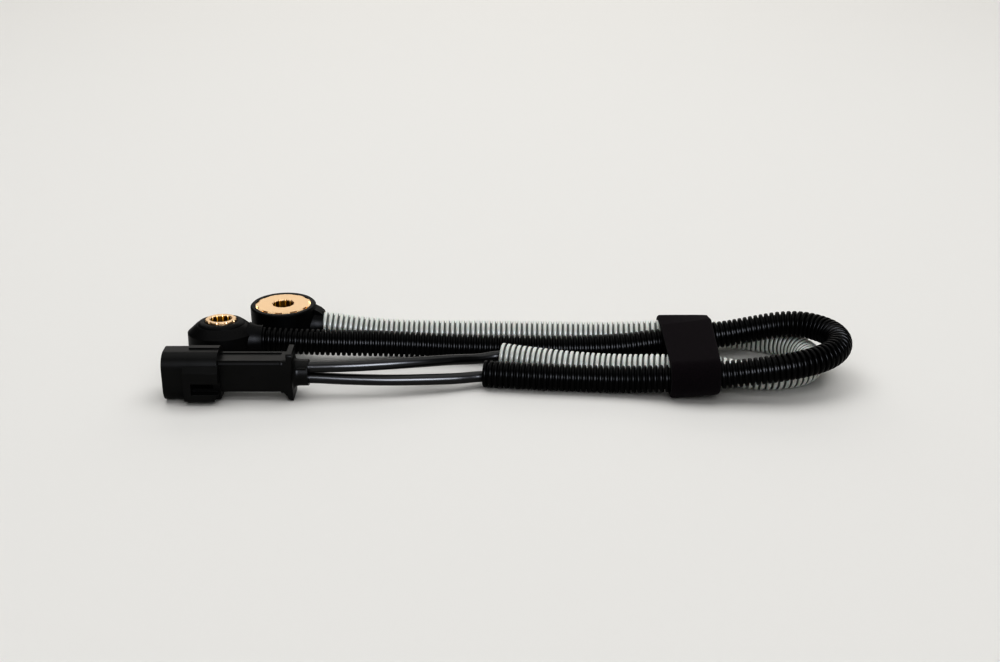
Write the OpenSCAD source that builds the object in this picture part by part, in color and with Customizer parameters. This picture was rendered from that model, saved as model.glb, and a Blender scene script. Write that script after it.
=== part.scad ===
// Dual engine knock sensor on one folded harness.
// Two ring sensors, two corrugated conduits, a band of fleece tape and a four way sealed connector.
// Millimetres. X runs along the harness, Z is up, and the origin lies on the axis of the rear
// sensor's bore, on the surface that everything lies on. The rear sensor is turned over.

/* [Sensor sleeve] */
// Bore for the M8 mounting bolt
bore_d = 8.2; // [8.2:0.1:8.6]
// Bevel of the bore's mouths
mouth_bevel = 0.3; // [0.2:0.05:0.4]
// Wall of the sleeve's tube
tube_wall = 2; // [1.8:0.1:2.2]
// Height of the sleeve, face to face
sleeve_h = 18; // [17.4:0.1:20]
// Reach of the seating flange beyond the tube
flange_reach = 5.1; // [4.8:0.1:5.3]
// Thickness of the seating flange
flange_t = 3; // [2.4:0.1:3.4]
// Number of serrations round the bore and the flange
serration_count = 11; // [8:1:12]
// Depth of a bore serration, outwards from the bore
serration_depth = 0.45; // [0.3:0.05:0.6]
// Length of a bore serration, in from each face
serration_l = 3; // [2:0.1:3.5]
// Width of a notch in the flange's rim
notch_w = 3; // [2:0.1:3.6]
// Length of a notch, in from the flange's rim
notch_l = 0.9; // [0.8:0.1:1.6]
// Depth of a notch, up from the seating face
notch_t = 0.6; // [0.4:0.1:1.4]

/* [Sensor stack] */
// Inset of the piezo ring from the flange's rim
piezo_inset = 1.7; // [1.2:0.1:2.2]
// Thickness of the piezo ring
piezo_t = 3; // [2.5:0.1:3.2]
// Inset of the contact discs from the flange's rim
contact_inset = 1.5; // [1.2:0.1:2]
// Thickness of a contact disc and its leg
contact_t = 0.3; // [0.2:0.1:0.4]
// Inset of the insulating washers from the flange's rim
insulator_inset = 1.3; // [1:0.1:2]
// Thickness of an insulating washer
insulator_t = 0.4; // [0.2:0.1:0.5]
// Inset of the seismic mass from the flange's rim
mass_inset = 0.9; // [0.7:0.1:1.6]
// Thickness of the seismic mass
mass_t = 4.2; // [3.6:0.1:4.4]
// Inset of the disc spring from the flange's rim
spring_inset = 2; // [1.6:0.1:2.6]
// Height of the disc spring
spring_t = 0.9; // [0.8:0.1:1]
// Inset of the ring nut from the flange's rim
nut_inset = 3; // [2.6:0.1:3.4]
// Thickness of the ring nut
nut_t = 2; // [1.6:0.1:2.2]
// Width of a contact leg
leg_w = 1.6; // [1:0.1:2]

/* [Sensor housing] */
// Wall of the moulding round the flange
body_wall = 2; // [1.6:0.1:2.2]
// Height at which the body's shoulder starts
shoulder_z = 12.9; // [12.6:0.1:14]
// Reach of the collar beyond the sleeve's tube
collar_reach = 3.2; // [2.8:0.1:3.6]
// How far the sleeve's end stands above the collar
sleeve_proud = 0.7; // [0.3:0.1:1]
// How far the seating face stands below the moulding
face_proud = 0.2; // [0:0.1:0.4]
// Height of the neck's axis above the seating face
neck_z = 9.2; // [8:0.1:9.6]
// Wall of the neck round the conduit
neck_wall = 0.6; // [0.5:0.1:0.9]
// Reach of the neck beyond the body
neck_reach = 3.3; // [3:0.1:3.8]
// Widest diameter of the flare between body and neck
flare_d = 16; // [15:0.1:17.6]
// Width of the lug between the neck and the seating side
lug_w = 6; // [4:0.1:8]
// Length of the slope where the lug runs out
lug_slope_l = 4.7; // [3:0.1:5]
// Height of the lug's underside above the moulding's seating side, where its end bevel starts
lug_slope_h = 2.7; // [2:0.1:3.2]
// Depth of the socket that holds the conduit
socket_l = 3; // [2:0.1:3.4]
// Clearance of the moulding round the parts in it
mould_gap = 0.05; // [0.02:0.01:0.1]
// Clearance of the conduit and lead in the neck, on the radius
socket_gap = 0.1; // [0.05:0.05:0.2]
// Lean of the front sensor, away from the connector
front_lean = 4; // [0:0.5:5]

/* [Harness] */
// Outside of the corrugated conduits
conduit_d = 10.4; // [10:0.1:10.5]
// Clear inside of the corrugated conduits
conduit_bore = 7.4; // [6:0.1:8]
// Diameter of the jacketed leads
lead_d = 4.2; // [3.6:0.1:4.2]
// Diameter of an insulated core
core_d = 1.5; // [1.1:0.1:1.6]
// Width of the fleece tape band
tape_w = 19.3; // [12:0.1:20]
// Thickness of the fleece tape's turns together
tape_t = 1.8; // [1:0.1:1.8]
// Clearance of the tape round the conduits
tape_gap = 0.2; // [0.15:0.05:0.3]

/* [Connector] */
// Length of the shell that takes the mating plug
shell_l = 20.7; // [19:0.1:24]
// Depth of the shell, front to back
shell_w = 15; // [14.4:0.1:16]
// Height of the shell
shell_h = 19; // [18:0.1:19.4]
// Corner radius of the shell
shell_r = 5.5; // [4:0.1:6]
// Wall of the shell
shell_wall = 1.5; // [1.2:0.1:2]
// Thickness of the web between the shell and the body
shell_web = 2.2; // [1.8:0.1:4]
// Length of the body behind the shell
conn_body_l = 24.1; // [22:0.1:30]
// Depth of the body, front to back
conn_body_w = 9.8; // [9.4:0.1:11]
// Height of the body
conn_body_h = 12.6; // [12:0.1:14]
// Corner radius of the body
conn_body_r = 1.4; // [0.6:0.1:2.4]
// Wall of the body round the wire seal
conn_wall = 1.2; // [1:0.1:1.4]
// Length of the wire seal
seal_l = 6.4; // [5:0.1:8]
// Height of the rear flange
cap_h = 18.8; // [17:0.1:18.9]
// Depth of the rear flange, front to back
cap_w = 11; // [10.6:0.1:12]
// Thickness of the rear flange
cap_t = 2; // [1.6:0.1:3]
// Diameter of the cable boss
boss_d = 9.9; // [9.8:0.1:10.6]
// Length of the cable boss
boss_l = 5.6; // [4:0.1:8]
// Thickness of the terminal lock
lock_t = 1.6; // [1.2:0.1:2.4]
// Diameter of a terminal's pin
pin_d = 1.5; // [1:0.1:1.8]
// Length of a pin inside the shell
pin_l = 12; // [8:0.5:13]
// Row spacing of the terminals, front to back
pitch_y = 3.6; // [3.2:0.1:3.8]
// Row spacing of the terminals, top to bottom
pitch_z = 5.4; // [4.6:0.1:6]

/* [Hidden] */

$fn = 96;
eps = 0.01;

// Finishes
brass = [0.86, 0.68, 0.42];
black_plastic = [0.07, 0.07, 0.07];
steel = [0.55, 0.56, 0.58];
ceramic = [0.85, 0.82, 0.74];
film = [0.75, 0.52, 0.2];
natural_white = [0.86, 0.87, 0.84];

// Derived radii and diameters of the sensor
bore_r = bore_d / 2;
tube_r = bore_r + tube_wall;
tube_d = 2 * tube_r;
flange_r = tube_r + flange_reach;
body_r = flange_r + body_wall;
collar_r = tube_r + collar_reach;
neck_r = conduit_d / 2 + socket_gap + neck_wall;
neck_l = body_r + neck_reach;
stack_bore_r = tube_r + 0.1;
piezo_d = 2 * (flange_r - piezo_inset);
contact_d = 2 * (flange_r - contact_inset);
insulator_d = 2 * (flange_r - insulator_inset);
mass_d = 2 * (flange_r - mass_inset);
spring_d = 2 * (flange_r - spring_inset);
nut_d = 2 * (flange_r - nut_inset);
collar_top = sleeve_h - sleeve_proud;
seat_edge = 1;
seat_bevel = 0.3;
edge_round = 0.5;

// Place of the front sensor, whose neck and conduit pass close by the rear sensor's body
sensor_step = 8.8;
side_gap = 0.8;
front_x = -(body_r + sensor_step);
front_y = -(body_r + conduit_d / 2 + side_gap);
front_z = (flange_r - seat_edge) * sin(front_lean);
front_neck_y = front_y + neck_z * sin(front_lean);
front_neck_z = front_z + neck_z * cos(front_lean);
rear_neck_z = sleeve_h - neck_z;

// Places of the tape band and the connector
tape_x = 162;
conn_y = -49.4;
conn_z = shell_h / 2;

// Heights in the stack, each part on the one below
lower_insulator_z = flange_t;
lower_contact_z = lower_insulator_z + insulator_t;
piezo_z = lower_contact_z + contact_t;
upper_contact_z = piezo_z + piezo_t;
upper_insulator_z = upper_contact_z + contact_t;
mass_z = upper_insulator_z + insulator_t;
spring_z = mass_z + mass_t;
nut_z = spring_z + spring_t;
stack_top = nut_z + nut_t;

// Turn of the serrations about the bore: at the seating face, at the far face, and in the flange's rim
serration_step = 360 / serration_count;
seat_turn = -86;
far_turn = 90;
notch_turn = 92;
rim_turn = -93;

// Ends inside the neck
socket_floor = neck_l - socket_l;
leg_x = socket_floor - 1.1;
lead_start = leg_x + contact_t + mould_gap;
leg_y = 1.1;
leg_reach = 1;

// Connector, along X from the open mouth of the shell to the end of the boss
mouth_x = -37.5;
shell_end = mouth_x + shell_l;
shell_floor = shell_end - shell_web;
body_end = shell_end + conn_body_l;
seal_start = body_end - seal_l - 1.2;
collar_l = 1.4;
cap_x = body_end + collar_l;
boss_x = cap_x + cap_t;
boss_end = boss_x + boss_l;
conn_gap = 0.1;
chamber_w = conn_body_w - 2 * conn_wall;
chamber_h = conn_body_h - 2 * conn_wall;
lead_gap = 0.1;
lead_rise = (lead_d + lead_gap) / 2;
lead_end = cap_x + 0.5;
core_split = 0.8;
crimp_d = 2.4;
crimp_l = 9;

// Lock window on the front of the shell
window_len = 12.6;
window_h = 13.8;
window_low = 1.4;
window_out = 2.1;
window_bevel = 2.1;
slot_low = 3;
slot_h = 4.4;
slot_margin = 2.8;

// Corners of the rear flange and of the seal's mat
cap_r = 1;
mat_r = 0.8;

// How far a conduit runs straight out of its neck
straight_out = 0.1;

// Sides of the swept tubes
conduit_sides = 12;
lead_sides = 10;
core_sides = 8;

// Route of the black conduit, from the front sensor's neck round the loop to its free end
black_route = [
  [front_x + socket_floor, front_neck_y, front_neck_z],
  [front_x + neck_l + straight_out, front_neck_y, front_neck_z],
  [1, -18.6, 9.6], [9, -18.6, 9.1], [18, -18.3, 8.6], [28, -17.5, 8], [39, -16.4, 7.3],
  [52, -15.4, 6.4], [70, -15.2, 5.4], [94, -16.2, 5.2], [118, -16.6, 5.2],
  [136, -16.6, 6], [149, -16.4, 7.6], [161, -15.8, 8.8], [171, -15, 9.8], [181, -14.6, 11.2],
  [191, -14.6, 13.2], [200, -15.4, 15], [207.6, -17.8, 16], [213.6, -21.9, 16.1],
  [217.4, -27.3, 16], [218.6, -33.4, 15.8], [217.2, -39.5, 15.4], [213.4, -44.8, 14.9],
  [207.8, -48.9, 14.4], [200.8, -51.6, 13.7], [192.6, -52.8, 12.7], [183, -52.8, 11.3],
  [172.6, -51.9, 9.6], [162, -51, 8.2], [150, -49.6, 7], [137, -47.4, 5.7], [122, -45.6, 5.2],
  [105, -44, 5.2], [92, -42.4, 5.2], [82, -41, 5.2]
];

// Route of the white conduit, from the rear sensor's neck round the loop to its free end
white_route = [
  [socket_floor, 0, rear_neck_z], [neck_l + straight_out, 0, rear_neck_z],
  [21, 0, 8.3], [29, 0, 7.2], [39, 0, 6], [50, 0, 5.4], [64, -0.4, 5.2], [86, -0.8, 5.2],
  [108, -1.4, 5.2], [128, -2.6, 5.4], [140, -4, 6.2], [151, -5, 7.1],
  [162, -5, 7.2], [172, -4.6, 6.9], [182, -4.8, 5.7], [190.6, -6, 5.2], [198.2, -8.9, 5.2],
  [204.4, -13.5, 5.2], [208.7, -19.7, 5.2], [210.4, -26.6, 5.2], [209.1, -33.2, 5.2],
  [205.2, -38.7, 5.2], [199.2, -42.2, 5.2], [191.6, -43.6, 5.2], [183, -43, 5.4],
  [173.6, -41.2, 6.4], [162, -40, 7],
  [150, -38.4, 6.6], [138, -36.4, 5.7], [125, -34, 5.2], [112, -31.8, 5.4], [100, -29.2, 5.8],
  [88.6, -26.8, 6.4]
];

// Free stretches of the leads, from the conduits' ends towards the connector
black_free = [[72, -44.2, 5], [60, -47, 5.8], [46, -48.8, 6.4], [31, -49.3, 6.9]];
white_free = [[80, -30, 6.6], [70, -36, 8.8], [58, -42.4, 10.7], [44, -47, 11.7], [30, -49, 11.8]];

// Whole routes of the leads, from the contact legs in the neck to the rear cap
front_lead_route = concat(
  [[front_x + lead_start, front_neck_y, front_neck_z]], black_route, black_free,
  [[boss_end, conn_y, conn_z - lead_rise], [lead_end, conn_y, conn_z - lead_rise]]
);
rear_lead_route = concat(
  [[lead_start, 0, rear_neck_z]], white_route, white_free,
  [[boss_end, conn_y, conn_z + lead_rise], [lead_end, conn_y, conn_z + lead_rise]]
);

// Unit vector along v
function unit(v) = v / norm(v);

// Direction of a route at point i, halfway between the stretches that meet there
function heading(path, i) = unit(
  (i < len(path) - 1 ? unit(path[i + 1] - path[i]) : [0, 0, 0])
  + (i > 0 ? unit(path[i] - path[i - 1]) : [0, 0, 0])
);

// Ring of points round a route at point i, square to its direction
function ring(path, i, r, sides) = let (
  along = heading(path, i),
  side = unit(cross([0, 0, 1], along)),
  over = cross(along, side)
) [for (k = [0:sides - 1]) let (a = 360 * (k + 0.5) / sides) path[i] + r * (cos(a) * side + sin(a) * over)];

// Points where a route crosses the plane at x
function crossings(path, x) = [
  for (i = [0:len(path) - 2])
    if ((path[i].x - x) * (path[i + 1].x - x) <= 0 && path[i].x != path[i + 1].x)
      path[i] + (path[i + 1] - path[i]) * (x - path[i].x) / (path[i + 1].x - path[i].x)
];

// Solid tube along a route
module cord(path, d, sides) {
  count = len(path);
  points = [for (i = [0:count - 1]) each ring(path, i, d / 2, sides)];
  walls = [
    for (i = [0:count - 2], k = [0:sides - 1]) let (n = (k + 1) % sides)
      [i * sides + k, (i + 1) * sides + k, (i + 1) * sides + n, i * sides + n]
  ];
  start = [[for (k = [0:sides - 1]) k]];
  finish = [[for (k = [sides - 1:-1:0]) (count - 1) * sides + k]];
  polyhedron(points, concat(walls, start, finish), convexity = 12);
}

// Open pipe along a route, with its bore
module pipe(path, d, bore, sides) {
  count = len(path);
  inner = count * sides;
  last = (count - 1) * sides;
  points = concat(
    [for (i = [0:count - 1]) each ring(path, i, d / 2, sides)],
    [for (i = [0:count - 1]) each ring(path, i, bore / 2, sides)]
  );
  walls = [
    for (i = [0:count - 2], k = [0:sides - 1]) let (n = (k + 1) % sides, a = i * sides, b = a + sides)
      each [
        [a + k, b + k, b + n, a + n],
        [inner + a + k, inner + a + n, inner + b + n, inner + b + k]
      ]
  ];
  ends = [
    for (k = [0:sides - 1]) let (n = (k + 1) % sides)
      each [
        [k, n, inner + n, inner + k],
        [last + n, last + k, inner + last + k, inner + last + n]
      ]
  ];
  polyhedron(points, concat(walls, ends), convexity = 12);
}

// Flat ring, standing on z = 0
module washer(d, bore, t) {
  difference() {
    cylinder(d = d, h = t);
    translate([0, 0, -1]) cylinder(d = bore, h = t + 2);
  }
}

// Rounded rectangular bar along X, centred on the connector's axis
module bar(x0, x1, w, h, r) {
  translate([x0, conn_y, conn_z]) rotate([90, 0, 90]) linear_extrude(x1 - x0) {
    square([w - 2 * r, h], center = true);
    square([w, h - 2 * r], center = true);
    for (sy = [-1, 1], sz = [-1, 1]) translate([sy * (w / 2 - r), sz * (h / 2 - r)]) circle(r);
  }
}

// Round rod along X at a height and depth off the connector's axis
module rod(x0, x1, d, y = 0, z = 0) {
  translate([x0, conn_y + y, conn_z + z]) rotate([0, 90, 0]) cylinder(d = d, h = x1 - x0);
}

// Serrations at one mouth of the bore, cut upwards from z = 0
module serrations(turn) {
  slot_d = 1.1;
  for (i = [0:serration_count - 1]) rotate([0, 0, turn + i * serration_step])
    translate([bore_r + serration_depth - slot_d / 2, 0, -1])
      cylinder(d = slot_d, h = serration_l + 1, $fn = 32);
}

// Turned brass press sleeve with its seating flange
module sleeve() {
  end_bevel = 0.2;
  rim_slot_d = 1.7;
  rim_slot_bite = 0.45;
  color(brass) difference() {
    rotate_extrude() polygon([
      [bore_r, mouth_bevel], [bore_r + mouth_bevel, 0], [flange_r - seat_edge, 0], [flange_r, seat_bevel],
      [flange_r, flange_t], [tube_r, flange_t], [tube_r, sleeve_h - end_bevel],
      [tube_r - end_bevel, sleeve_h], [bore_r + mouth_bevel, sleeve_h], [bore_r, sleeve_h - mouth_bevel]
    ]);
    serrations(seat_turn);
    translate([0, 0, sleeve_h]) mirror([0, 0, 1]) serrations(far_turn);
    for (i = [0:serration_count - 1]) {
      rotate([0, 0, notch_turn + i * serration_step])
        translate([flange_r - notch_l, -notch_w / 2, -1]) cube([notch_l + 1, notch_w, notch_t + 1]);
      rotate([0, 0, rim_turn + i * serration_step])
        translate([tube_r + rim_slot_d / 2 - rim_slot_bite, 0, collar_top + 0.1])
          cylinder(d = rim_slot_d, h = sleeve_proud + 1, $fn = 32);
    }
  }
}

// Outline of the overmould in section, from the seating flange up to the sleeve's end
module housing_section() {
  ledge = 0.6;
  ledge_rise = 0.15;
  ledge_z = shoulder_z + 3;
  bevel_low = 1.1;
  bevel_high = 0.45;
  bevel_in = 0.7;
  crown_in = 1.9;
  groove_w = 0.7;
  groove_t = 0.4;
  polygon([
    [flange_r + mould_gap, face_proud], [body_r - edge_round, face_proud], [body_r, face_proud + edge_round],
    [body_r, shoulder_z], [collar_r + ledge, ledge_z], [collar_r, ledge_z + ledge_rise],
    [collar_r, collar_top - bevel_low], [collar_r - bevel_in, collar_top - bevel_high],
    [collar_r - crown_in, collar_top], [tube_r + groove_w, collar_top],
    [tube_r + mould_gap, collar_top - groove_t], [tube_r + mould_gap, flange_t + mould_gap],
    [flange_r + mould_gap, flange_t + mould_gap]
  ]);
}

// Room that the stack takes in the moulding
module stack_room() {
  levels = [
    [insulator_d, lower_insulator_z, insulator_t], [contact_d, lower_contact_z, contact_t],
    [piezo_d, piezo_z, piezo_t], [contact_d, upper_contact_z, contact_t],
    [insulator_d, upper_insulator_z, insulator_t], [mass_d, mass_z, mass_t],
    [spring_d, spring_z, spring_t], [nut_d, nut_z, nut_t]
  ];
  for (level = levels) translate([0, 0, level[1] - mould_gap])
    cylinder(r = level[0] / 2 + mould_gap, h = level[2] + 2 * mould_gap);
}

// Leg of a contact disc: out through the moulding, then up or down to the lead's end
module leg(z, side, grow) {
  low = min(z, neck_z - leg_reach);
  high = max(z + contact_t, neck_z + leg_reach);
  y0 = side * leg_y - leg_w / 2 - grow;
  width = leg_w + 2 * grow;
  thick = contact_t + 2 * grow;
  translate([contact_d / 2 - 1, y0, z - grow]) cube([leg_x - contact_d / 2 + 1 + eps, width, thick]);
  translate([leg_x - grow, y0, low - grow]) cube([thick, width, high - low + 2 * grow]);
}

// Glass filled overmould with its stepped collar and cable neck
module housing() {
  lug_low = 1;
  lug_end = 1.4;
  lip_l = 2.2;
  flare_l = 6.3;
  flare_x = neck_l - lip_l - flare_l;
  color(black_plastic) difference() {
    union() {
      rotate_extrude() housing_section();
      difference() {
        union() {
          translate([0, 0, neck_z]) rotate([0, 90, 0]) cylinder(r = neck_r, h = neck_l);
          translate([flare_x, 0, neck_z]) rotate([0, 90, 0])
            cylinder(d1 = flare_d, r2 = neck_r, h = flare_l);
          translate([0, lug_w / 2, 0]) rotate([90, 0, 0]) linear_extrude(lug_w) polygon([
            [0, lug_low], [neck_l - lug_slope_l, lug_low], [neck_l - lug_end, lug_slope_h],
            [neck_l, lug_slope_h + lug_end], [neck_l, neck_z], [0, neck_z]
          ]);
        }
        cylinder(r = flange_r + mould_gap, h = 3 * sleeve_h, center = true);
      }
      difference() {
        translate([0, 0, flange_t + mould_gap]) cylinder(r = flange_r + 0.5, h = nut_z - flange_t);
        cylinder(r = tube_r + mould_gap, h = 3 * sleeve_h, center = true);
      }
    }
    stack_room();
    leg(lower_contact_z, -1, mould_gap);
    leg(upper_contact_z, 1, mould_gap);
    translate([leg_x, 0, neck_z]) rotate([0, 90, 0]) cylinder(r = lead_d / 2 + socket_gap, h = neck_l);
    translate([socket_floor, 0, neck_z]) rotate([0, 90, 0])
      cylinder(r = conduit_d / 2 + socket_gap, h = socket_l + 1);
  }
}

module lower_insulator() {
  color(film) translate([0, 0, lower_insulator_z]) washer(insulator_d, 2 * stack_bore_r, insulator_t);
}

module contact(z, side) {
  color(brass) difference() {
    union() {
      translate([0, 0, z]) washer(contact_d, 2 * stack_bore_r, contact_t);
      leg(z, side, 0);
    }
    cylinder(r = stack_bore_r, h = 3 * sleeve_h, center = true);
  }
}

module lower_contact() {
  contact(lower_contact_z, -1);
}

module piezo_ring() {
  color(ceramic) translate([0, 0, piezo_z]) washer(piezo_d, 2 * stack_bore_r, piezo_t);
}

module upper_contact() {
  contact(upper_contact_z, 1);
}

module upper_insulator() {
  color(film) translate([0, 0, upper_insulator_z]) washer(insulator_d, 2 * stack_bore_r, insulator_t);
}

module seismic_mass() {
  bevel = 0.4;
  color(steel) translate([0, 0, mass_z]) rotate_extrude() polygon([
    [stack_bore_r, 0], [mass_d / 2, 0], [mass_d / 2, mass_t - bevel], [mass_d / 2 - bevel, mass_t],
    [stack_bore_r, mass_t]
  ]);
}

// Dished spring washer: its outer edge bears on the mass and its inner edge on the nut
module disc_spring() {
  leaf = 0.5;
  color(steel) translate([0, 0, spring_z]) rotate_extrude() polygon([
    [stack_bore_r, spring_t - leaf], [spring_d / 2, 0], [spring_d / 2, leaf], [stack_bore_r, spring_t]
  ]);
}

// Nut that clamps the stack, with four slots for its spanner
module ring_nut() {
  slot_w = 2;
  slot_t = 1;
  color(steel) translate([0, 0, nut_z]) difference() {
    washer(nut_d, tube_d, nut_t);
    for (a = [0:90:270]) rotate([0, 0, a + 45])
      translate([nut_d / 2 - slot_t, -slot_w / 2, nut_t / 2]) cube([slot_t + 1, slot_w, nut_t]);
  }
}

// The rear sensor stands on its sleeve's end, with the seating flange up
module at_rear() {
  translate([0, 0, sleeve_h]) rotate([180, 0, 0]) children();
}

// The front sensor stands on the back edge of its seating face, held leaning by its conduit
module at_front() {
  translate([front_x, front_y, front_z]) rotate([-front_lean, 0, 0]) children();
}

module rear_lead() {
  color(black_plastic) cord(rear_lead_route, lead_d, lead_sides);
}

module front_lead() {
  color(black_plastic) cord(front_lead_route, lead_d, lead_sides);
}

module white_conduit() {
  color(natural_white) pipe(white_route, conduit_d, conduit_bore, conduit_sides);
}

module black_conduit() {
  color(black_plastic) pipe(black_route, conduit_d, conduit_bore, conduit_sides);
}

// Hull of the bundle between the band's edges, r round each conduit's centre line and past each edge
module bundle(r, past) {
  slice = 0.02;
  edges = [
    for (route = [white_route, black_route], side = [-1, 1])
      for (place = crossings(route, tape_x + side * tape_w / 2))
        place + [side * past - (side > 0 ? slice : 0), 0, 0]
  ];
  inside = [for (point = concat(white_route, black_route)) if (abs(point.x - tape_x) < tape_w / 2 - 1) point];
  hull() for (place = concat(edges, inside))
    translate(place) rotate([0, 90, 0]) cylinder(r = r, h = slice, $fn = 32);
}

module fleece_tape() {
  inner_r = conduit_d / 2 + tape_gap;
  color(black_plastic) difference() {
    bundle(inner_r + tape_t, 0);
    bundle(inner_r, 1);
  }
}

// Bolster round the lock window on the front of the shell, open towards the body
module lock_window() {
  face = conn_y - shell_w / 2;
  top = window_low + window_h;
  under = 2;
  edge = 0.6;
  past = 0.5;
  corner_x = 2;
  corner_z = 4;
  difference() {
    translate([shell_end - window_len, 0, 0]) rotate([90, 0, 90]) linear_extrude(window_len + past) polygon([
      [conn_y, window_low + under], [face + under, window_low], [face - window_out + edge, window_low],
      [face - window_out, window_low + edge], [face - window_out, top - window_bevel],
      [face, top], [conn_y, top]
    ]);
    translate([shell_end + past, face + under, window_low - eps]) rotate([90, 0, 0])
      linear_extrude(window_out + 2 * under) polygon([[eps, -eps], [eps, corner_z], [-corner_x, -eps]]);
  }
}

// Shell, lock window and body in one moulding
module connector_housing() {
  rib_l = 11.4;
  rib_w = 2.6;
  rib_t = 0.5;
  rib_back = 1.4;
  rail_w = 1.3;
  rail_t = 0.4;
  rail_in = 0.5;
  lip_l = 1.2;
  lip_t = 0.4;
  nib_x = -4;
  nib_d = 1.2;
  nib_t = 0.35;
  cavity_d = crimp_d + 2 * conn_gap;
  front_face = conn_y - shell_w / 2;
  color(black_plastic) difference() {
    union() {
      bar(mouth_x, shell_end, shell_w, shell_h, shell_r);
      bar(shell_floor, body_end, conn_body_w, conn_body_h, conn_body_r);
      bar(body_end - lip_l, body_end, conn_body_w + 2 * lip_t, conn_body_h + 2 * lip_t, conn_body_r + lip_t);
      lock_window();
      translate([shell_end - rib_l, conn_y + rib_back - rib_w / 2, conn_z + shell_h / 2 - rib_t])
        cube([rib_l, rib_w, 2 * rib_t]);
      for (side = [-1, 1])
        translate([shell_end, conn_y + side * (conn_body_w / 2 - rail_in - rail_w / 2) - rail_w / 2, conn_z])
          cube([conn_body_l, rail_w, conn_body_h / 2 + rail_t]);
      translate([nib_x, conn_y - conn_body_w / 2, conn_z - nib_d / 2]) rotate([90, 0, 0])
        cylinder(d = nib_d, h = nib_t, $fn = 24);
    }
    bar(mouth_x - 1, shell_floor, shell_w - 2 * shell_wall, shell_h - 2 * shell_wall, shell_r - shell_wall);
    bar(seal_start, body_end + 1, chamber_w, chamber_h, mat_r);
    translate([shell_end - window_len + slot_margin, front_face - window_out - 1, window_low + slot_low])
      cube([window_len, window_out + 1 + shell_wall, slot_h]);
    for (sy = [-1, 1], sz = [-1, 1])
      rod(shell_floor - 1, seal_start + 1, cavity_d, sy * pitch_y / 2, sz * pitch_z / 2);
  }
}

// Rear cover with its flange, gusset and cable boss
module rear_cap() {
  fillet_r = 2.2;
  pocket_margin = 0.6;
  slit_w = 1.8;
  tip_t = 1;
  fin_t = 0.7;
  fin_z = 3.2;
  fin_out = 0.5;
  color(black_plastic) difference() {
    union() {
      bar(body_end, cap_x, conn_body_w + 1, conn_body_h + 1, conn_body_r);
      bar(cap_x, boss_x, cap_w, cap_h, cap_r);
      rod(boss_x - eps, boss_end, boss_d);
      translate([boss_x, conn_y, conn_z]) rotate([0, 90, 0]) rotate_extrude() difference() {
        square([boss_d / 2 + fillet_r, fillet_r]);
        translate([boss_d / 2 + fillet_r, fillet_r]) circle(fillet_r);
      }
      translate([0, conn_y + conn_body_w / 2, conn_z]) rotate([90, 0, 0]) linear_extrude(conn_body_w) polygon([
        [body_end, -conn_body_h / 2], [boss_x - eps, -conn_body_h / 2], [boss_x - eps, -cap_h / 2],
        [boss_x - tip_t, -cap_h / 2]
      ]);
      translate([boss_x, conn_y - boss_d / 2 + fin_out, conn_z + fin_z - fin_t / 2])
        cube([boss_l - fin_out, boss_d / 2, fin_t]);
    }
    translate([0, conn_y + cap_w, conn_z]) rotate([90, 0, 0]) linear_extrude(2 * cap_w) polygon([
      [body_end, -conn_body_h / 2], [boss_x - tip_t, -cap_h / 2], [boss_x - tip_t, -cap_h], [body_end, -cap_h]
    ]);
    bar(body_end - 1, cap_x, chamber_w - pocket_margin, chamber_h - pocket_margin, mat_r);
    for (side = [-1, 1]) rod(cap_x - eps, boss_end + 1, lead_d + lead_gap, 0, side * lead_rise);
    translate([cap_x - eps, conn_y - slit_w / 2, conn_z - lead_rise])
      cube([boss_end + 1 - cap_x, slit_w, 2 * lead_rise]);
  }
}

// Mat seal that the four cores pass through
module wire_seal() {
  color([0.5, 0.24, 0.16]) difference() {
    bar(seal_start + conn_gap, seal_start + seal_l, chamber_w - 2 * conn_gap, chamber_h - 2 * conn_gap, mat_r);
    for (sy = [-1, 1], sz = [-1, 1])
      rod(seal_start - 1, body_end, core_d + 0.04, sy * pitch_y / 2, sz * pitch_z / 2);
  }
}

// Plate on the shell's floor that keeps the terminals in
module terminal_lock() {
  margin = 1.6;
  color(black_plastic) difference() {
    bar(shell_floor - lock_t, shell_floor, pitch_y + pin_d + 2 * margin, pitch_z + pin_d + 2 * margin, 0.8);
    for (sy = [-1, 1], sz = [-1, 1])
      rod(shell_floor - lock_t - 1, shell_floor + 1, pin_d + 0.2, sy * pitch_y / 2, sz * pitch_z / 2);
  }
}

// Male terminal: a pin with a pointed tip, and its crimp barrel
module terminal(sy, sz) {
  tip_l = 1.5;
  place = [0, conn_y + sy * pitch_y / 2, conn_z + sz * pitch_z / 2];
  color(brass) translate(place) rotate([0, 90, 0]) difference() {
    union() {
      translate([0, 0, shell_floor - pin_l]) cylinder(d = pin_d, h = pin_l + conn_gap);
      translate([0, 0, shell_floor - pin_l - tip_l]) cylinder(d1 = pin_d / 3, d2 = pin_d, h = tip_l);
      translate([0, 0, shell_floor + conn_gap]) cylinder(d = crimp_d, h = crimp_l);
    }
    translate([0, 0, shell_floor + conn_gap + crimp_l / 2]) cylinder(d = core_d + 0.04, h = crimp_l);
  }
}

// Insulated core, from the crimp through the seal to the end of its lead
module core(sy, sz) {
  crimp_floor = shell_floor + conn_gap + crimp_l / 2 + 0.05;
  y = conn_y + sy * pitch_y / 2;
  z = conn_z + sz * pitch_z / 2;
  y_end = conn_y + sy * core_split;
  z_end = conn_z + sz * lead_rise;
  color(natural_white) cord([
    [crimp_floor, y, z], [body_end - 0.9, y, z], [lead_end - 0.8, y_end, z_end], [lead_end - 0.05, y_end, z_end]
  ], core_d, core_sides);
}

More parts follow.
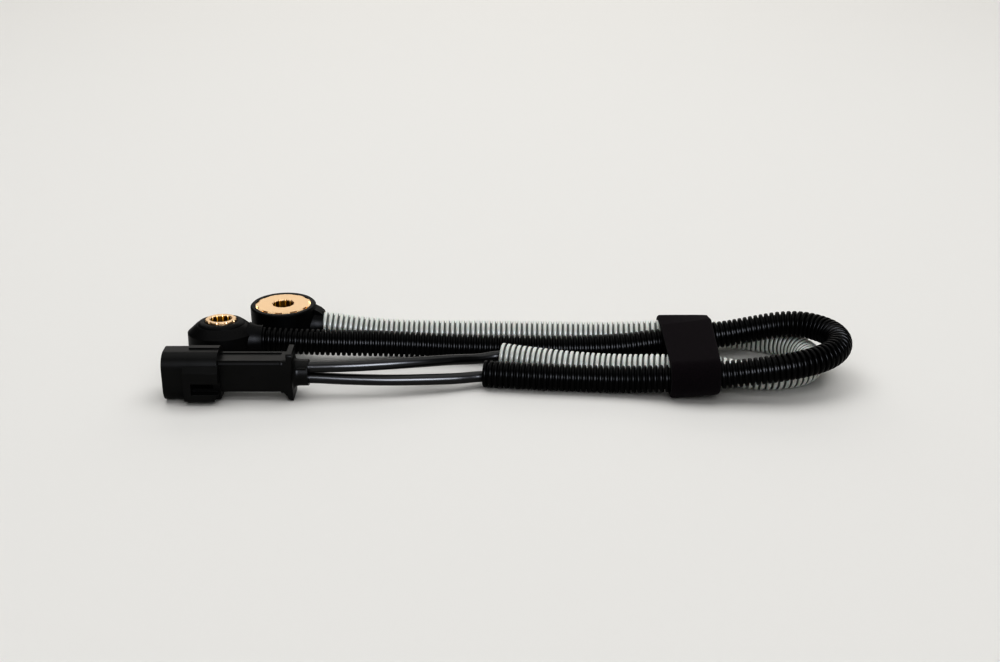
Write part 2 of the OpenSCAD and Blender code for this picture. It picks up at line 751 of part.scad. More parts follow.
at_rear() sleeve();  // rear_sleeve
at_rear() housing();  // rear_housing
at_rear() lower_insulator();  // rear_lower_insulator
at_rear() lower_contact();  // rear_lower_contact
at_rear() piezo_ring();  // rear_piezo_ring
at_rear() upper_contact();  // rear_upper_contact
at_rear() upper_insulator();  // rear_upper_insulator
at_rear() seismic_mass();  // rear_seismic_mass
at_rear() disc_spring();  // rear_disc_spring
at_rear() ring_nut();  // rear_ring_nut
at_front() sleeve();  // front_sleeve
at_front() housing();  // front_housing
at_front() lower_insulator();  // front_lower_insulator
at_front() lower_contact();  // front_lower_contact
at_front() piezo_ring();  // front_piezo_ring
at_front() upper_contact();  // front_upper_contact
at_front() upper_insulator();  // front_upper_insulator
at_front() seismic_mass();  // front_seismic_mass
at_front() disc_spring();  // front_disc_spring
at_front() ring_nut();  // front_ring_nut
rear_lead();
front_lead();
white_conduit();
black_conduit();
fleece_tape();
connector_housing();
rear_cap();
wire_seal();
terminal_lock();
terminal(-1, 1);  // pin_1
terminal(1, 1);  // pin_2
terminal(-1, -1);  // pin_3
terminal(1, -1);  // pin_4
core(-1, 1);  // core_1
core(1, 1);  // core_2
core(-1, -1);  // core_3
core(1, -1);  // core_4
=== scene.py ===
# %% [markdown]
# # A pair of ring knock sensors on a folded harness
# Two small sensors, each a brass sleeve in a black moulding, share one oval connector. Their leads run in
# corrugated conduits, one black and one natural white, and a band of fleece tape holds the folded bundle.
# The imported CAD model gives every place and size. This script adds what CAD leaves out: the corrugations,
# the tape's slanted edge, rounded edges, finishes, light and camera.

# %% Load the frame
import math

import bpy
import numpy as np
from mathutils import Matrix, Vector


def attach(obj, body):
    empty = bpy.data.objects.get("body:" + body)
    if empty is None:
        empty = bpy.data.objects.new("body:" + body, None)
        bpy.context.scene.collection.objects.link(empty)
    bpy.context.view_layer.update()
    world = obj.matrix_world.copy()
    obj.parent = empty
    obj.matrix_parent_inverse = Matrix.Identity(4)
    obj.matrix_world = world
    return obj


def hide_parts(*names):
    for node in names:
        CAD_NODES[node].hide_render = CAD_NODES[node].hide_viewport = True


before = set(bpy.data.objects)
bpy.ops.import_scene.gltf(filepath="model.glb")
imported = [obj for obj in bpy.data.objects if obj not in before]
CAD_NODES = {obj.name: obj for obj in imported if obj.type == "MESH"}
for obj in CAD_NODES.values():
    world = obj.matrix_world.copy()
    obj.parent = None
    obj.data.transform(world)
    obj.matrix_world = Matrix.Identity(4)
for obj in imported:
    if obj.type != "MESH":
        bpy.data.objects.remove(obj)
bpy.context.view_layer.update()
MM = 0.001

# %% [markdown]
# ## Camera
# This place was fitted to the photograph: a normal lens a little over half a metre away, looking down by
# about 23 degrees. It puts both brass faces and both bores within two pixels of the photograph's. The
# brass rings tilt by about 3 degrees here and hardly at all there, so the real lens was probably longer
# and further away.

# %% Camera
CAMERA_PLACE = (88.3 * MM, -526.6 * MM, 225 * MM)
CAMERA_DOWN = math.radians(22.6)
camera_data = bpy.data.cameras.new("camera")
camera_data.lens = 50
camera_data.clip_start = 0.01
camera = bpy.data.objects.new("camera", camera_data)
camera.location = CAMERA_PLACE
camera.rotation_euler = (math.pi / 2 - CAMERA_DOWN, 0, 0)
bpy.context.collection.objects.link(camera)
bpy.context.scene.camera = camera

# %% [markdown]
# ## Routes of the conduits and leads
# A harness is a fixed length of something springy. These are the route points of the CAD model, in
# millimetres, turned to metres. A centripetal spline through them gives the smooth line that the real
# conduit takes, and it doesn't overshoot where the points are unevenly spaced. The front lead lies up to
# 1.2 mm lower here than in CAD near its conduit's mouth, where its weight takes it.

# %% Routes
BLACK_ROUTE = [
    (-8.5, -18.558, 9.889), (-5.4, -18.558, 9.889), (1, -18.6, 9.6), (9, -18.6, 9.1),
    (18, -18.3, 8.6), (28, -17.5, 8), (39, -16.4, 7.3), (52, -15.4, 6.4), (70, -15.2, 5.4),
    (94, -16.2, 5.2), (118, -16.6, 5.2),
    (136, -16.6, 6), (149, -16.4, 7.6), (161, -15.8, 8.8), (171, -15, 9.8), (181, -14.6, 11.2),
    (191, -14.6, 13.2), (200, -15.4, 15), (207.6, -17.8, 16), (213.6, -21.9, 16.1),
    (217.4, -27.3, 16), (218.6, -33.4, 15.8), (217.2, -39.5, 15.4), (213.4, -44.8, 14.9),
    (207.8, -48.9, 14.4), (200.8, -51.6, 13.7), (192.6, -52.8, 12.7), (183, -52.8, 11.3),
    (172.6, -51.9, 9.6), (162, -51, 8.2), (150, -49.6, 7), (137, -47.4, 5.7), (122, -45.6, 5.2),
    (105, -44, 5.2), (92, -42.4, 5.2), (82, -41, 5.2),
]
WHITE_ROUTE = [
    (13.5, 0, 8.8), (16.6, 0, 8.8), (21, 0, 8.3), (29, 0, 7.2), (39, 0, 6), (50, 0, 5.4),
    (64, -0.4, 5.2), (86, -0.8, 5.2), (108, -1.4, 5.2), (128, -2.6, 5.4), (140, -4, 6.2),
    (151, -5, 7.1), (162, -5, 7.2), (172, -4.6, 6.9), (182, -4.8, 5.7), (190.6, -6, 5.2),
    (198.2, -8.9, 5.2), (204.4, -13.5, 5.2), (208.7, -19.7, 5.2), (210.4, -26.6, 5.2),
    (209.1, -33.2, 5.2), (205.2, -38.7, 5.2), (199.2, -42.2, 5.2), (191.6, -43.6, 5.2),
    (183, -43, 5.4), (173.6, -41.2, 6.4), (162, -40, 7), (150, -38.4, 6.6), (138, -36.4, 5.7),
    (125, -34, 5.2), (112, -31.8, 5.4), (100, -29.2, 5.8), (88.6, -26.8, 6.4),
]
BLACK_MOUTH = [(92, -42.4, 4.5), (82, -41, 4)]
BLACK_FREE = [(72, -44.2, 4.6), (60, -47, 5.4), (46, -48.8, 6), (31, -49.3, 6.6)]
WHITE_FREE = [(80, -30, 6.6), (70, -36, 8.8), (58, -42.4, 10.7), (44, -47, 11.7), (30, -49, 11.8)]
FRONT_LEAD_ROUTE = (
    [(-9.25, -18.558, 9.889)] + BLACK_ROUTE[:-2] + BLACK_MOUTH + BLACK_FREE
    + [(16.3, -49.4, 7.35), (9.2, -49.4, 7.35)]
)
REAR_LEAD_ROUTE = (
    [(12.75, 0, 8.8)] + WHITE_ROUTE + WHITE_FREE + [(16.3, -49.4, 11.65), (9.2, -49.4, 11.65)]
)
SPLINE_STEPS = 24


def smooth_line(route, step):
    """Points along a centripetal spline through the route, evenly spaced by about step, in metres."""
    knots = np.array(route, float) * MM
    ends = np.vstack([2 * knots[0] - knots[1], knots, 2 * knots[-1] - knots[-2]])
    dense = []
    for p0, p1, p2, p3 in zip(ends, ends[1:], ends[2:], ends[3:]):
        t1 = np.linalg.norm(p1 - p0) ** 0.5
        t2 = t1 + np.linalg.norm(p2 - p1) ** 0.5
        t3 = t2 + np.linalg.norm(p3 - p2) ** 0.5
        for t in np.linspace(t1, t2, SPLINE_STEPS, endpoint=False):
            a1 = (t1 - t) / t1 * p0 + t / t1 * p1
            a2 = (t2 - t) / (t2 - t1) * p1 + (t - t1) / (t2 - t1) * p2
            a3 = (t3 - t) / (t3 - t2) * p2 + (t - t2) / (t3 - t2) * p3
            b1 = (t2 - t) / t2 * a1 + t / t2 * a2
            b2 = (t3 - t) / (t3 - t1) * a2 + (t - t1) / (t3 - t1) * a3
            dense.append((t2 - t) / (t2 - t1) * b1 + (t - t1) / (t2 - t1) * b2)
    dense = np.array(dense + [knots[-1]])
    along = np.concatenate([[0], np.cumsum(np.linalg.norm(np.diff(dense, axis=0), axis=1))])
    count = round(along[-1] / step) + 1
    stations = np.linspace(0, along[-1], count)
    return np.stack([np.interp(stations, along, dense[:, axis]) for axis in range(3)], axis=1)


def line_length(line):
    """Length of a line of points, in metres."""
    return float(np.linalg.norm(np.diff(line, axis=0), axis=1).sum())


# %% [markdown]
# ## Tubes along a line
# A conduit and a lead are both rings of points swept along a line. Each ring is square to the line, so a
# list of distances and radii along it is enough to draw any tube: a plain jacket, or a corrugated wall
# that folds back inside itself at both ends.


# %% Sweep
def place_rings(line, stations, radii, sides):
    """Rings of points square to the line, at distances along it and with the given radii."""
    along = np.concatenate([[0], np.cumsum(np.linalg.norm(np.diff(line, axis=0), axis=1))])
    tangents = np.gradient(line, along, axis=0)
    centre = np.stack([np.interp(stations, along, line[:, axis]) for axis in range(3)], axis=1)
    heading = np.stack([np.interp(stations, along, tangents[:, axis]) for axis in range(3)], axis=1)
    heading /= np.linalg.norm(heading, axis=1)[:, None]
    side = np.cross([0, 0, 1], heading)
    side /= np.linalg.norm(side, axis=1)[:, None]
    over = np.cross(heading, side)
    turn = np.linspace(0, 2 * math.pi, sides, endpoint=False)
    ring = np.cos(turn)[None, :, None] * side[:, None] + np.sin(turn)[None, :, None] * over[:, None]
    return centre[:, None] + np.asarray(radii)[:, None, None] * ring


def skin(name, rings, closed):
    """Mesh piece whose wall joins each ring to the next, and the last to the first if it is closed."""
    count, sides = rings.shape[:2]
    index = np.arange(count * sides).reshape(count, sides)
    after = np.roll(index, -1, axis=0) if closed else index[1:]
    before = index if closed else index[:-1]
    walls = np.stack(
        [before, np.roll(before, -1, axis=1), np.roll(after, -1, axis=1), after], axis=-1
    ).reshape(-1, 4)
    faces = walls.tolist()
    if not closed:
        faces += [index[0, ::-1].tolist(), index[-1].tolist()]
    mesh = bpy.data.meshes.new(name)
    mesh.from_pydata(rings.reshape(-1, 3).tolist(), [], faces)
    piece = bpy.data.objects.new(name, mesh)
    bpy.context.collection.objects.link(piece)
    mesh.shade_smooth()
    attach(piece, "root")
    return piece


def select_only(piece):
    """Makes a piece the one selected and active object."""
    bpy.ops.object.select_all(action="DESELECT")
    piece.select_set(True)
    bpy.context.view_layer.objects.active = piece


# %% [markdown]
# ## Corrugated conduits
# The conduit is extruded as a pipe and pressed into rings between moving mould halves while it is hot.
# That leaves flat crests with soft shoulders and narrower valleys, 2.1 mm apart. The wall is one closed
# skin: outside along the corrugations, round the cut end, and back along the inside. A crest is listed as
# shares of the pitch with their radii, and VALLEY_PARTS are its walls that make the valley.

# %% Conduits
CONDUIT_R = 5.2 * MM
CREST_EDGE_R = CONDUIT_R - 0.05 * MM
SHOULDER_R = CONDUIT_R - 0.26 * MM
VALLEY_R = 4.05 * MM
INSIDE_R = 3.7 * MM
PITCH = 2.1 * MM
CREST = [
    (0.0, VALLEY_R), (0.2, VALLEY_R), (0.28, SHOULDER_R), (0.38, CREST_EDGE_R),
    (0.46, CONDUIT_R), (0.74, CONDUIT_R), (0.82, CREST_EDGE_R), (0.92, SHOULDER_R),
]
VALLEY_PARTS = (0, 1, 7)
CONDUIT_SIDES = 36
CONDUIT_STEP = 0.5 * MM
INSIDE_STEP = 3 * MM
CONDUIT_SMOOTH = math.radians(50)


def conduit(name, route, node):
    """Corrugated conduit along a route, in place of its CAD node, with its line and count of rings."""
    line = smooth_line(route, CONDUIT_STEP)
    long = line_length(line)
    rings = round(long / PITCH)
    pitch = long / rings
    stations = [(ring + part) * pitch for ring in range(rings) for part, _ in CREST] + [long]
    radii = [radius for _ in range(rings) for _, radius in CREST] + [VALLEY_R]
    inside = np.linspace(long, 0, round(long / INSIDE_STEP))
    stations = np.concatenate([stations, inside])
    radii = np.concatenate([radii, np.full(len(inside), INSIDE_R)])
    piece = skin(name, place_rings(line, stations, radii, CONDUIT_SIDES), closed=True)
    select_only(piece)
    bpy.ops.object.shade_smooth_by_angle(angle=CONDUIT_SMOOTH)
    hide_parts(node)
    print(name, rings, "rings,", round(long * 1000), "mm,", len(piece.data.polygons), "faces")
    return piece, line, rings


black_conduit, black_line, _ = conduit(
    "corrugated_black_conduit", BLACK_ROUTE, "black_conduit")
white_conduit, white_line, white_rings = conduit(
    "corrugated_white_conduit", WHITE_ROUTE, "white_conduit")

# %% [markdown]
# ## Jacketed leads
# Each sensor has one round two core lead. The jacket is a plain glossy skin, so a smooth tube with
# closed ends is all it needs. It is seen only between the conduits' free ends and the connector.

# %% Leads
LEAD_R = 2.1 * MM
LEAD_SIDES = 32
LEAD_STEP = 2 * MM


def lead(name, route, node):
    """Round jacketed lead along a route, in place of its CAD node, with its line."""
    line = smooth_line(route, LEAD_STEP)
    long = line_length(line)
    along = np.linspace(0, long, len(line))
    radii = np.full(len(line), LEAD_R)
    piece = skin(name, place_rings(line, along, radii, LEAD_SIDES), closed=False)
    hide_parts(node)
    print(name, round(long * 1000), "mm")
    return piece, line


front_lead, front_line = lead("jacketed_front_lead", FRONT_LEAD_ROUTE, "front_lead")
rear_lead, rear_line = lead("jacketed_rear_lead", REAR_LEAD_ROUTE, "rear_lead")

# %% [markdown]
# ## Fleece tape
# The band is a few turns of soft fleece tape pulled tight round the folded bundle, drawn as one closed
# band. Its section is the outline of a string round the four runs of conduit, which changes a little from
# one edge of the band to the other. Its underside is held at the floor, where the CAD band reaches up to
# 0.7 mm lower. Its right edge slants: it is 1.4 mm further out at the back and comes in by 2.6 mm over
# 55 mm towards the front.

# %% Tape
TAPE_X = 162 * MM
TAPE_W = 19.3 * MM
TAPE_INNER_R = CONDUIT_R + 0.2 * MM
TAPE_T = 1.8 * MM
TAPE_EDGE = 0.7 * MM
TAPE_EDGE_SHARE = 0.72
TAPE_SLANT_OUT = 1.4 * MM
TAPE_SLANT_RISE = 2.6 / 55
TAPE_SIDES = 220
TAPE_RINGS = 40
STRING_STEPS = 720


def conduit_crossings(x):
    """Where the conduits' centre lines cross the plane at x, as places in Y and Z."""
    found = []
    for line in (black_line, white_line):
        for a, b in zip(line, line[1:]):
            if (a[0] - x) * (b[0] - x) <= 0 and a[0] != b[0]:
                found.append((a + (b - a) * (x - a[0]) / (b[0] - a[0]))[1:])
    return np.array(found)


def string_round(centres, radius, count):
    """Outline of a string pulled round circles, as evenly spaced places in Y and Z."""
    turn = np.linspace(0, 2 * math.pi, STRING_STEPS, endpoint=False)
    out = np.stack([np.cos(turn), np.sin(turn)], axis=1)
    touched = centres[np.argmax(out @ centres.T, axis=1)] + radius * out
    closed = np.vstack([touched, touched[:1]])
    along = np.concatenate([[0], np.cumsum(np.linalg.norm(np.diff(closed, axis=0), axis=1))])
    stations = np.linspace(0, along[-1], count, endpoint=False)
    return np.stack([np.interp(stations, along, closed[:, axis]) for axis in (0, 1)], axis=1)


def tape_band(name, start, end, radius_at):
    """Closed band of tape from start to end along X. radius_at gives its outer radius at each place."""
    places = np.linspace(start, end, TAPE_RINGS)
    outside = [(x, radius_at(x)) for x in places]
    inside = [(x, TAPE_INNER_R) for x in places[::-1]]
    rings = []
    for x, radius in outside + inside:
        section = string_round(conduit_crossings(x), radius, TAPE_SIDES)
        section[:, 1] = np.maximum(section[:, 1], 0)
        share = (x - start) / (end - start)
        slant = share * (TAPE_SLANT_OUT + TAPE_SLANT_RISE * section[:, 0])
        rings.append(np.column_stack([x + slant, section]))
    return skin(name, np.array(rings), closed=True)


def band_radius(x):
    """Outer radius of the band: full in the middle, rounded off at its two edges."""
    from_edge = min(x - (TAPE_X - TAPE_W / 2), (TAPE_X + TAPE_W / 2) - x)
    rise = min(1, max(0, from_edge / TAPE_EDGE))
    bulge = math.sqrt(1 - (1 - rise) ** 2)
    return TAPE_INNER_R + TAPE_T * (TAPE_EDGE_SHARE + (1 - TAPE_EDGE_SHARE) * bulge)


tape = tape_band("fleece_tape_band", TAPE_X - TAPE_W / 2, TAPE_X + TAPE_W / 2, band_radius)
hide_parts("fleece_tape")

# %% [markdown]
# ## Rigid pieces
# The sleeves, housings and connector already have their shape in CAD, with knife sharp edges. Real
# turned and moulded edges are slightly round and catch the light, so each piece here is a copy of its
# CAD node, merged to one shell and bevelled by a fraction of a millimetre. Weighted normals keep its flat
# faces flat beside the bevels.

# %% Rounded copies
MERGE_WITHIN = 0.001 * MM
FLAT_WITHIN = math.radians(1)
BEVEL_OVER = math.radians(32)
SMOOTH_UNDER = math.radians(38)
BEVEL_SEGMENTS = 2
SLEEVE_EDGE = 0.08 * MM
HOUSING_EDGE = 0.2 * MM
CONNECTOR_EDGE = 0.25 * MM


def rounded(node, name, width):
    """Copy of a CAD node with its sharp edges rounded by width, in place of the node."""
    piece = bpy.data.objects.new(name, CAD_NODES[node].data.copy())
    bpy.context.collection.objects.link(piece)
    select_only(piece)
    bpy.ops.object.mode_set(mode="EDIT")
    bpy.ops.mesh.select_all(action="SELECT")
    bpy.ops.mesh.remove_doubles(threshold=MERGE_WITHIN)
    bpy.ops.mesh.dissolve_limited(angle_limit=FLAT_WITHIN)
    bpy.ops.object.mode_set(mode="OBJECT")
    bevel = piece.modifiers.new("edges", "BEVEL")
    bevel.width = width
    bevel.segments = BEVEL_SEGMENTS
    bevel.limit_method = "ANGLE"
    bevel.angle_limit = BEVEL_OVER
    bevel.use_clamp_overlap = True
    bpy.ops.object.modifier_apply(modifier=bevel.name)
    bpy.ops.object.shade_smooth_by_angle(angle=SMOOTH_UNDER)
    faces = piece.modifiers.new("faces", "WEIGHTED_NORMAL")
    faces.keep_sharp = True
    bpy.ops.object.modifier_apply(modifier=faces.name)
    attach(piece, "root")
    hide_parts(node)
    print(name, len(piece.data.polygons), "faces")
    return piece


rear_sleeve = rounded("rear_sleeve", "turned_rear_sleeve", SLEEVE_EDGE)
front_sleeve = rounded("front_sleeve", "turned_front_sleeve", SLEEVE_EDGE)
rear_housing = rounded("rear_housing", "moulded_rear_housing", HOUSING_EDGE)
front_housing = rounded("front_housing", "moulded_front_housing", HOUSING_EDGE)
connector = rounded("connector_housing", "moulded_connector", CONNECTOR_EDGE)
rear_cap = rounded("rear_cap", "moulded_rear_cap", CONNECTOR_EDGE)

# %% [markdown]
# ## Materials
# One function turns the hex colours to linear light, and one adds a node with its settings and links.


# %% Material helpers
def linear(code):
    """Linear colour of a hex sRGB code."""
    parts = [int(code[i:i + 2], 16) / 255 for i in (1, 3, 5)]
    return tuple(p / 12.92 if p <= 0.04045 else ((p + 0.055) / 1.055) ** 2.4 for p in parts) + (1,)


def add_node(material, kind, settings=None, values=None, links=None):
    """Adds a node of one kind, given its properties, its sockets' values and links from other nodes."""
    node = material.node_tree.nodes.new(kind)
    for key, value in (settings or {}).items():
        setattr(node, key, value)
    for key, value in (values or {}).items():
        node.inputs[key].default_value = value
    for key, output in (links or {}).items():
        material.node_tree.links.new(output, node.inputs[key])
    return node


def new_material(name, **values):
    """Material with one Principled shader, its constant sockets set directly."""
    material = bpy.data.materials.new(name)
    material.use_nodes = True
    shader = material.node_tree.nodes["Principled BSDF"]
    for key, value in values.items():
        shader.inputs[key.replace("_", " ")].default_value = value
    return material, shader


def link(material, output, socket):
    """Links an output to a socket."""
    material.node_tree.links.new(output, socket)


def paint(material, *pieces):
    """Gives pieces this one material."""
    for piece in pieces:
        piece.data.materials.clear()
        piece.data.materials.append(material)


def paint_valley_shade(material, piece, rings):
    """Gives the valleys of a conduit with this many rings a material of their own: painted shade in the
    creases.
    """
    piece.data.materials.append(material)
    for part in range(rings * len(CREST)):
        if part % len(CREST) in VALLEY_PARTS:
            for face in piece.data.polygons[part * CONDUIT_SIDES:(part + 1) * CONDUIT_SIDES]:
                face.material_index = 1


# %% [markdown]
# ### Turned brass
# The sleeves are turned from free cutting brass and not plated. Turning leaves fine rings about the
# axis, and handling leaves a faint cloudiness. The feed is far finer than a pixel, so the rings are
# drawn 0.4 mm apart. Inside the bore the brass is painted darker, as painted shade deep in the hole.
# The dark fades out between two distances from the axis, and between two from the sleeve's middle.


# %% Turned brass
WAVE_PERIOD = 0.314
RING_PITCH = 0.4 * MM
SLEEVE_MIDDLE = 9 * MM
BORE_SHADE_FADE = (4.65 * MM, 4.8 * MM)
MOUTH_SHADE_FADE = (8.2 * MM, 8.7 * MM)
FRONT_CENTRE = (-22 * MM, -19.2 * MM, 0.71 * MM)
FRONT_LEAN = 4


def turned_brass(name, centre, lean):
    """Brass with turning rings about the axis of a sensor, given its centre and its lean about X."""
    material, shader = new_material(name, Metallic=1.0, Roughness=0.3)
    place = add_node(material, "ShaderNodeTexCoord")
    centred = add_node(material, "ShaderNodeMapping", {"vector_type": "TEXTURE"},
                       {"Location": centre, "Rotation": (math.radians(-lean), 0, 0)},
                       {"Vector": place.outputs["Object"]})
    rings = add_node(material, "ShaderNodeTexWave", {"wave_type": "RINGS", "rings_direction": "Z"},
                     {"Scale": WAVE_PERIOD / RING_PITCH, "Distortion": 0.6, "Detail": 2.0},
                     {"Vector": centred.outputs["Vector"]})
    cloud = add_node(material, "ShaderNodeTexNoise", values={"Scale": 220.0, "Detail": 4.0},
                     links={"Vector": place.outputs["Object"]})
    tone = add_node(material, "ShaderNodeValToRGB", links={"Fac": cloud.outputs["Fac"]})
    tone.color_ramp.elements[0].color = linear("#CBAF8B")
    tone.color_ramp.elements[1].color = linear("#DABD97")
    gloss = add_node(material, "ShaderNodeMapRange", values={"To Min": 0.26, "To Max": 0.42},
                     links={"Value": cloud.outputs["Fac"]})
    bump = add_node(material, "ShaderNodeBump", values={"Strength": 0.25, "Distance": 0.02 * MM},
                    links={"Height": rings.outputs["Fac"]})
    flat = add_node(material, "ShaderNodeVectorMath", {"operation": "MULTIPLY"}, {1: (1, 1, 0)},
                    {0: centred.outputs["Vector"]})
    out_from_axis = add_node(material, "ShaderNodeVectorMath", {"operation": "LENGTH"},
                             links={0: flat.outputs["Vector"]})
    beside = add_node(material, "ShaderNodeMapRange",
                      values={"From Min": BORE_SHADE_FADE[0], "From Max": BORE_SHADE_FADE[1]},
                      links={"Value": out_from_axis.outputs["Value"]})
    up = add_node(material, "ShaderNodeSeparateXYZ", links={"Vector": centred.outputs["Vector"]})
    from_middle = add_node(material, "ShaderNodeMath", {"operation": "SUBTRACT"}, {1: SLEEVE_MIDDLE},
                           {0: up.outputs["Z"]})
    depth = add_node(material, "ShaderNodeMath", {"operation": "ABSOLUTE"},
                     links={0: from_middle.outputs[0]})
    mouth = add_node(material, "ShaderNodeMapRange",
                     values={"From Min": MOUTH_SHADE_FADE[0], "From Max": MOUTH_SHADE_FADE[1]},
                     links={"Value": depth.outputs[0]})
    # Painted shade: inside the bore, away from its two mouths, the brass colour is mixed towards a dark
    # brown.
    inside = add_node(material, "ShaderNodeMath", {"operation": "MAXIMUM"},
                      links={0: beside.outputs["Result"], 1: mouth.outputs["Result"]})
    bore_shade = add_node(material, "ShaderNodeMix", {"data_type": "RGBA"}, {6: linear("#6E5014")},
                       {0: inside.outputs["Value"], 7: tone.outputs["Color"]})
    link(material, bore_shade.outputs[2], shader.inputs["Base Color"])
    link(material, gloss.outputs["Result"], shader.inputs["Roughness"])
    link(material, bump.outputs["Normal"], shader.inputs["Normal"])
    return material


paint(turned_brass("turned_brass_rear", (0, 0, 0), 0), rear_sleeve)
paint(turned_brass("turned_brass_front", FRONT_CENTRE, FRONT_LEAN), front_sleeve)


# %% [markdown]
# ### Moulded plastics
# Glass filled polyamide comes out of the mould with a fine dull grain, where glass fibres reach the
# skin. The connector's unfilled skin is smoother. Both are dyed through with carbon black.


# %% Moulded plastics
BROAD_GRAINS = 25


def moulded(name, dark, light, rough_low, rough_high, grain, depth, specular=0.5):
    """Moulded plastic between two tones and two glosses, with a grain of the given size and depth."""
    material, shader = new_material(name, IOR=1.53, Specular_IOR_Level=specular)
    place = add_node(material, "ShaderNodeTexCoord")
    fine = add_node(material, "ShaderNodeTexNoise", values={"Scale": 1 / grain, "Detail": 3.0},
                    links={"Vector": place.outputs["Object"]})
    broad = add_node(material, "ShaderNodeTexNoise",
                     values={"Scale": 1 / (BROAD_GRAINS * grain), "Detail": 2.0},
                     links={"Vector": place.outputs["Object"]})
    tone = add_node(material, "ShaderNodeValToRGB", links={"Fac": broad.outputs["Fac"]})
    tone.color_ramp.elements[0].color = linear(dark)
    tone.color_ramp.elements[1].color = linear(light)
    gloss = add_node(material, "ShaderNodeMapRange",
                     values={"To Min": rough_low, "To Max": rough_high},
                     links={"Value": broad.outputs["Fac"]})
    bump = add_node(material, "ShaderNodeBump", values={"Strength": 0.4, "Distance": depth},
                    links={"Height": fine.outputs["Fac"]})
    link(material, tone.outputs["Color"], shader.inputs["Base Color"])
    link(material, gloss.outputs["Result"], shader.inputs["Roughness"])
    link(material, bump.outputs["Normal"], shader.inputs["Normal"])
    return material


glass_filled = moulded(
    "glass_filled_polyamide", "#060606", "#0C0C0C", 0.34, 0.5, 0.25 * MM, 0.03 * MM, 0.08)
connector_plastic = moulded(
    "moulded_connector_plastic", "#131312", "#1C1C1B", 0.3, 0.42, 0.3 * MM, 0.01 * MM, 0.1)
conduit_black = moulded(
    "extruded_black_conduit", "#030303", "#070707", 0.24, 0.34, 0.4 * MM, 0.01 * MM, 0.08)
paint(glass_filled, rear_housing, front_housing)
paint(connector_plastic, connector, rear_cap)
paint(conduit_black, black_conduit)

# %% [markdown]
# ### Natural conduit, lead jacket and fleece
# Natural polyamide conduit isn't painted white: it is milky, and light goes a little way into it. Its
# valleys get a grey material of their own: painted shade in the creases, together with the dark lead
# inside showing through the thin wall there. The lead's jacket is plain glossy vinyl. Fleece is fibres
# on end, soft at its edges, with painted shade in the low spots between the fibres.

# %% Natural conduit
natural_conduit = moulded(
    "extruded_natural_conduit", "#CED2CC", "#DADDD8", 0.32, 0.45, 0.5 * MM, 0.01 * MM)
shader = natural_conduit.node_tree.nodes["Principled BSDF"]
shader.inputs["Subsurface Weight"].default_value = 0.1
shader.inputs["Subsurface Scale"].default_value = 1 * MM
# Painted shade: a mid grey for the conduit's valleys, with the dark lead showing through the thin wall
# there.
valley_shade = moulded(
    "natural_conduit_valley_shade", "#666A66", "#767A76", 0.4, 0.5, 0.5 * MM, 0.01 * MM, 0.2)
paint(natural_conduit, white_conduit)
paint_valley_shade(valley_shade, white_conduit, white_rings)

# %% Lead jacket
jacket = moulded(
    "vinyl_lead_jacket", "#020202", "#050505", 0.26, 0.32, 0.6 * MM, 0.004 * MM, 0.35)
paint(jacket, front_lead, rear_lead)

# %% Fleece
FIBRE = 0.35 * MM
fleece, shader = new_material("black_fleece_tape", Roughness=0.95, Specular_IOR_Level=0.05,
                              Sheen_Weight=0.05, Sheen_Roughness=0.5)
place = add_node(fleece, "ShaderNodeTexCoord")
fibres = add_node(fleece, "ShaderNodeTexNoise",
                  values={"Scale": 1 / FIBRE, "Detail": 6.0, "Roughness": 0.7},
                  links={"Vector": place.outputs["Object"]})
# Painted shade: the tone follows the same noise as the bump, darker in its low spots between the fibres.
tone = add_node(fleece, "ShaderNodeValToRGB", links={"Fac": fibres.outputs["Fac"]})
tone.color_ramp.elements[0].position = 0.35
tone.color_ramp.elements[0].color = linear("#090608")
tone.color_ramp.elements[1].position = 0.7
tone.color_ramp.elements[1].color = linear("#1E151A")
bump = add_node(fleece, "ShaderNodeBump", values={"Strength": 0.8, "Distance": 0.15 * MM},
                links={"Height": fibres.outputs["Fac"]})
link(fleece, tone.outputs["Color"], shader.inputs["Base Color"])
link(fleece, bump.outputs["Normal"], shader.inputs["Normal"])
paint(fleece, tape)

# %% [markdown]
# ### Inner pieces
# The pins, seal and lock show a little through the connector's mouth, and the stacks not at all. They
# keep their CAD meshes and get plain versions of their real finishes.

# %% Inner pieces
tinned_brass = moulded("tinned_brass_terminal", "#B79A63", "#CDB37C", 0.25, 0.4, 0.4 * MM, 0.003 * MM)
tinned_brass.node_tree.nodes["Principled BSDF"].inputs["Metallic"].default_value = 1.0
silicone = moulded("moulded_silicone_seal", "#8C4630", "#9C5238", 0.5, 0.65, 0.4 * MM, 0.01 * MM)
natural_plastic = moulded("moulded_natural_plastic", "#D9D8CE", "#E4E3DA", 0.35, 0.5, 0.4 * MM, 0.01 * MM)
ground_steel = moulded("ground_steel", "#9C9DA0", "#B4B5B8", 0.25, 0.4, 0.3 * MM, 0.004 * MM)
ground_steel.node_tree.nodes["Principled BSDF"].inputs["Metallic"].default_value = 1.0
fired_ceramic = moulded("fired_piezo_ceramic", "#CFC8B4", "#DBD5C4", 0.6, 0.75, 0.2 * MM, 0.005 * MM)
insulating_film = moulded("insulating_film", "#B5822F", "#C79440", 0.3, 0.4, 0.5 * MM, 0.003 * MM)
for number in "1234":
    paint(tinned_brass, CAD_NODES["pin_" + number])
    paint(natural_plastic, CAD_NODES["core_" + number])
paint(silicone, CAD_NODES["wire_seal"])
paint(connector_plastic, CAD_NODES["terminal_lock"])
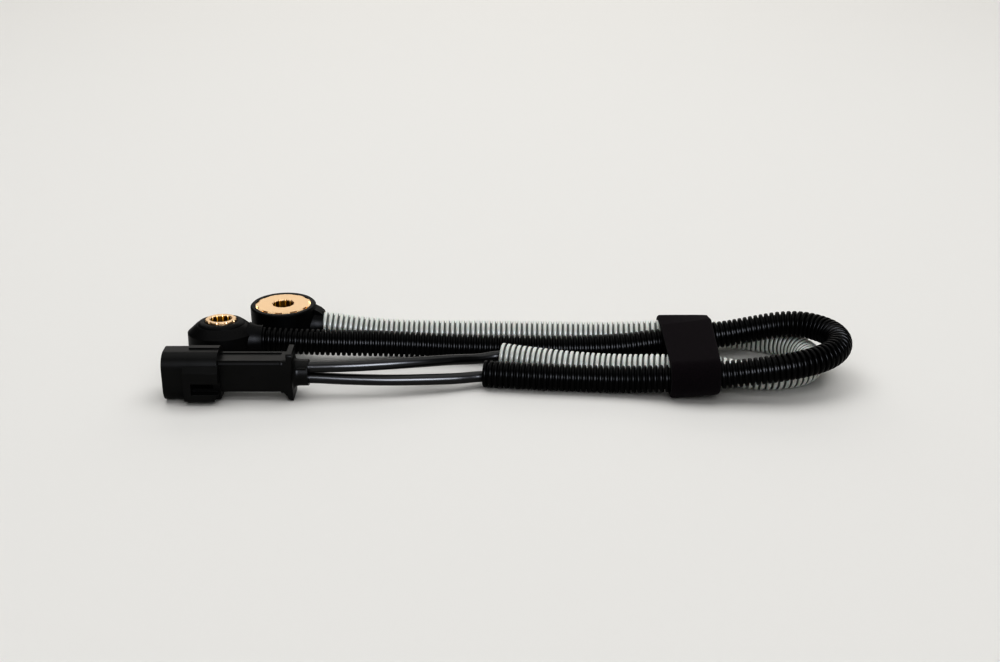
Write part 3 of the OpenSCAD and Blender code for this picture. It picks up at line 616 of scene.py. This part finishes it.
for sensor in ("rear_", "front_"):
    paint(tinned_brass, CAD_NODES[sensor + "lower_contact"], CAD_NODES[sensor + "upper_contact"])
    paint(insulating_film, CAD_NODES[sensor + "lower_insulator"],
          CAD_NODES[sensor + "upper_insulator"])
    paint(fired_ceramic, CAD_NODES[sensor + "piezo_ring"])
    paint(ground_steel, CAD_NODES[sensor + "seismic_mass"], CAD_NODES[sensor + "disc_spring"],
          CAD_NODES[sensor + "ring_nut"])

# %% [markdown]
# ## Cords
# Both conduits end bare, as in the photograph. Both leads run on from them into the connector. The
# connector's pieces are gathered in one list here, which nothing else uses.

connector_pieces = [connector, rear_cap, CAD_NODES["wire_seal"], CAD_NODES["terminal_lock"]]
connector_pieces += [CAD_NODES[name + number] for name in ("pin_", "core_") for number in "1234"]

# %% [markdown]
# ## Floor and light
# The photograph is a plain studio shot on a pale, faintly warm floor. The brass faces mirror a bright
# panel behind the part, the shadows are short and soft and fall a little forwards, and a long bluish
# highlight runs along the middle of each lead. So there is a big box overhead, a panel behind and a soft
# fill in front. A bluish box in front adds the highlights and lights nothing else. The surroundings are
# dim, and the High Contrast look keeps the blacks as deep as the photograph's. The shadows come out darker
# than the photograph's, most of all inside the loop. The floor mirrors nothing and is drawn 0.05 mm under
# the part, so the two don't share a plane.

# %% Floor
FLOOR_SIZE = 12
FLOOR_PLACE = (0.1, 1.0, -0.05 * MM)
bpy.ops.object.select_all(action="DESELECT")
bpy.ops.mesh.primitive_plane_add(size=FLOOR_SIZE, location=FLOOR_PLACE)
floor = bpy.context.object
floor.name = "studio_floor"
floor_paper, _ = new_material("studio_paper", Roughness=0.9, Base_Color=linear("#E3E2DF"),
                              Specular_IOR_Level=0)
paint(floor_paper, floor)

# %% Light
world = bpy.data.worlds.new("studio")
world.use_nodes = True
background = world.node_tree.nodes["Background"]
background.inputs["Color"].default_value = linear("#F4F4F6")
background.inputs["Strength"].default_value = 0.11
scene = bpy.context.scene
scene.world = world
scene.view_settings.view_transform = "Standard"
scene.view_settings.look = "High Contrast"


def soft_box(name, place, aim, size, power, colour):
    """Rectangular area light at a place, turned to face an aim point."""
    data = bpy.data.lights.new(name, "AREA")
    data.shape = "RECTANGLE"
    data.size, data.size_y = size
    data.energy = power
    data.color = linear(colour)[:3]
    lamp = bpy.data.objects.new(name, data)
    lamp.location = place
    lamp.rotation_euler = (Vector(aim) - Vector(place)).to_track_quat("-Z", "Y").to_euler()
    bpy.context.collection.objects.link(lamp)
    return lamp


soft_box("overhead_box", (0.1, 0.2, 1.3), (0.09, -0.02, 0), (2.2, 1.4), 13.4, "#FFFFFF")
soft_box("back_panel", (0.1, 1.3, 0.62), (0.09, -0.02, 0.02), (1.8, 0.8), 4.4, "#FFFCF8")
front_box = soft_box("front_box", (0.33, -1, 0.5), (0.1, -0.02, 0), (0.66, 0.45), 24, "#F0F4FF")
front_box.visible_diffuse = False
soft_box("front_fill", (0.1, -1.2, 0.9), (0.1, -0.1, 0), (1.6, 1), 5.3, "#FFFFFF")
